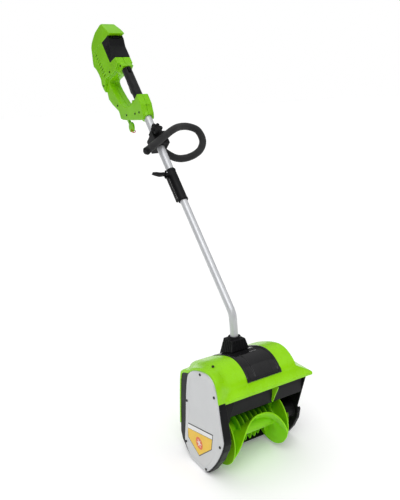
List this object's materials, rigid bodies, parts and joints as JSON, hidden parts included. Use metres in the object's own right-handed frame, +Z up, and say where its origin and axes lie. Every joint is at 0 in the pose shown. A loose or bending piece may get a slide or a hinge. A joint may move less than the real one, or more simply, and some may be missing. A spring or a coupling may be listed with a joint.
{
  "type": "snow blower",
  "caption": "Battery snow blower: spinning auger under a hood, bent telescoping pole, loop second handle and closed rear handle with trigger and battery.",
  "frame": {"origin": "on the floor straight below the auger axis, midway between the side faces of the head", "axes": "+X across the head along the auger axis, with the belt cover on -X; -Y is the open mouth, the pole leans back to +Y; +Z up"},
  "size_m": [0.3585, 1.0808, 1.3137],
  "materials": {
    "hood_green": "glossy injection moulding",
    "handle_green": "semi gloss injection moulding",
    "auger_lime": "satin injection moulding",
    "black_gloss": "high gloss",
    "black_matte": "fine texture",
    "black_tough": "satin",
    "silver_cover": "silver lacquer",
    "badge_print": "printed sheet",
    "tube_alu": "satin lacquered",
    "zinc_steel": "zinc plated",
    "motor_steel": "black paint",
    "bearing_steel": "ground",
    "screw_black": "black oxide",
    "belt_rubber": "matt",
    "foam_grip": "closed cell foam",
    "soft_grip": "soft overmould",
    "cable_rubber": "satin",
    "spring_steel": "drawn wire",
    "red_plastic": "gloss",
    "scraper_black": "worn edge"
  },
  "bodies": {
    "head": {"hood": "hood_green", "centre_cover": "black_gloss", "neck_boot": "black_matte", "chamber_shell": "black_tough", "deflector_vanes": "auger_lime", "right_side_plate": "black_tough", "left_side_plate": "black_tough", "belt_cover": "silver_cover", "cover_badge": "badge_print", "scraper_bar": "scraper_black", "head_screws": "screw_black", "pole_socket": "black_tough", "motor_can": "motor_steel", "motor_bracket": "zinc_steel", "bearing_left": "bearing_steel", "bearing_right": "bearing_steel", "lower_tube": "tube_alu", "drive_belt": "belt_rubber"},
    "auger": {"auger_shaft": "zinc_steel", "auger_drum": "auger_lime", "auger_fins": "auger_lime", "auger_discs": "auger_lime", "auger_flights": "auger_lime", "auger_webs": "auger_lime", "auger_nut": "zinc_steel", "large_pulley": "black_tough"},
    "rotor": {"motor_rotor": "bearing_steel", "small_pulley": "black_tough"},
    "pole": {"upper_tube": "tube_alu", "coupler_sleeve": "black_matte", "clamp_strap": "black_matte", "lever_pin": "zinc_steel", "pole_cable": "cable_rubber", "handle_left": "handle_green", "handle_right": "handle_green", "handle_cap": "handle_green", "grip_sleeve": "soft_grip", "trigger_pin": "zinc_steel", "trigger_spring": "spring_steel", "switch_block": "black_tough", "terminal_block": "black_tough", "handle_screws": "screw_black"},
    "lever": {"clamp_lever": "black_matte"},
    "second_handle": {"loop_clamp_left": "black_matte", "loop_clamp_right": "black_matte", "loop_handle": "foam_grip", "loop_caps": "black_matte", "knob_nut": "zinc_steel"},
    "knob": {"star_knob": "black_matte"},
    "trigger_body": {"trigger": "black_matte"},
    "lockout": {"lockout_button": "black_matte"},
    "battery": {"battery_pack": "black_tough"},
    "latch": {"battery_latch": "black_matte"},
    "key": {"safety_key": "handle_green", "key_ring": "red_plastic"}
  },
  "joints": [
    {"name": "auger_spin", "type": "hinge", "parent": "head", "child": "auger", "pos_m": [0, 0, 0.1], "axis": [1, 0, 0], "continuous": true},
    {"name": "rotor_spin", "type": "hinge", "parent": "head", "child": "rotor", "pos_m": [0, 0.01, 0.24], "axis": [1, 0, 0], "continuous": true},
    {"name": "pole_slide", "type": "slide", "parent": "head", "child": "pole", "axis": [0, 0.6561, 0.7547], "range_m": [-0.12, 0.05]},
    {"name": "lever_swing", "type": "hinge", "parent": "pole", "child": "lever", "pos_m": [-0.021, 0.40959, 0.8099], "axis": [0, 0.7547, -0.6561], "range_deg": [0, 80]},
    {"name": "second_handle_slide", "type": "slide", "parent": "pole", "child": "second_handle", "axis": [0, 0.6561, 0.7547], "range_m": [-0.045, 0.05]},
    {"name": "knob_turn", "type": "hinge", "parent": "second_handle", "child": "knob", "pos_m": [-0.011, 0.47847, 0.9501], "axis": [0, -0.7547, 0.6561], "continuous": true},
    {"name": "trigger_pull", "type": "hinge", "parent": "pole", "child": "trigger_body", "pos_m": [0, 0.69445, 1.1254], "axis": [1, 0, 0], "range_deg": [-6.5, 0], "stiffness_Nm_per_rad": 1.5, "springref_deg": 2.86},
    {"name": "lockout_press", "type": "slide", "parent": "pole", "child": "lockout", "axis": [0, 0.7547, -0.6561], "range_m": [0, 0.004], "stiffness_N_per_m": 400, "springref_m": -0.003},
    {"name": "battery_slide", "type": "slide", "parent": "pole", "child": "battery", "axis": [0, -0.95, 0.3123], "range_m": [0, 0.12]},
    {"name": "latch_press", "type": "slide", "parent": "battery", "child": "latch", "axis": [0, 0.7547, -0.6561], "range_m": [0, 0.003], "stiffness_N_per_m": 500, "springref_m": -0.002},
    {"name": "key_pull", "type": "slide", "parent": "pole", "child": "key", "axis": [0, -0.6561, -0.7547], "range_m": [0, 0.035]}
  ],
  "couplings": [
    {"joint": "rotor_spin", "follows": "auger_spin", "ratio": 4}
  ]
}
